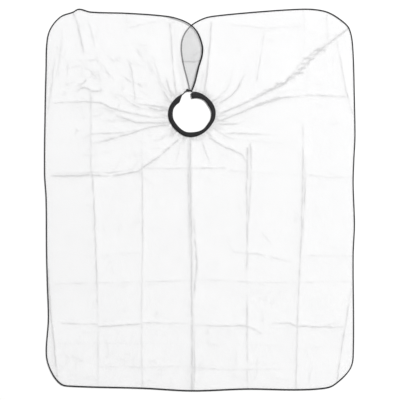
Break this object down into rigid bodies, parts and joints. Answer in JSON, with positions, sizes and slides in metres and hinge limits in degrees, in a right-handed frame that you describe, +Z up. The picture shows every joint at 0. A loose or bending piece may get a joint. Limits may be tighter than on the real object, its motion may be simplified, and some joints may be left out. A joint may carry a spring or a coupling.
{
  "type": "barber cape",
  "caption": "Thin translucent cape laid flat, with bound edges, an elastic neckband, and a lapped back opening that closes with a press stud at the neck.",
  "frame": {"origin": "centre of the cape's outline, on the surface that the cape lies on", "axes": "+Z up, +Y from the front hem to the back opening, +X towards the flap that lies underneath"},
  "size_m": [1.212, 1.496, 0.0077],
  "materials": {
    "cape_cloth": "satin",
    "binding_tape": "matte",
    "neckband_knit": "matte",
    "elastic": "matte",
    "snap_plastic": "gloss"
  },
  "bodies": {
    "cape": {"cape_cloth": "cape_cloth", "cape_hem_binding": "binding_tape", "cape_neck_binding": "binding_tape", "neckband_casing": "neckband_knit", "neckband_elastic": "elastic"},
    "left_flap": {"left_flap_cloth": "cape_cloth", "left_flap_hem_binding": "binding_tape", "left_flap_neck_binding": "binding_tape", "snap_cap": "snap_plastic", "snap_socket": "snap_plastic"},
    "right_flap": {"right_flap_cloth": "cape_cloth", "right_flap_hem_binding": "binding_tape", "right_flap_neck_binding": "binding_tape", "snap_stud": "snap_plastic", "snap_post": "snap_plastic"}
  },
  "joints": [
    {"name": "left_flap_fold", "type": "hinge", "parent": "cape", "child": "left_flap", "pos_m": [-0.0674, 0.41421, 0.007], "axis": [0.2303, -0.9731, 0], "range_deg": [0, 150]},
    {"name": "right_flap_fold", "type": "hinge", "parent": "cape", "child": "right_flap", "pos_m": [-0.02691, 0.42245, 0.0021], "axis": [0.2795, 0.9601, 0], "range_deg": [0, 52.5]}
  ],
  "couplings": [
    {"joint": "right_flap_fold", "follows": "left_flap_fold", "ratio": 0.35}
  ]
}
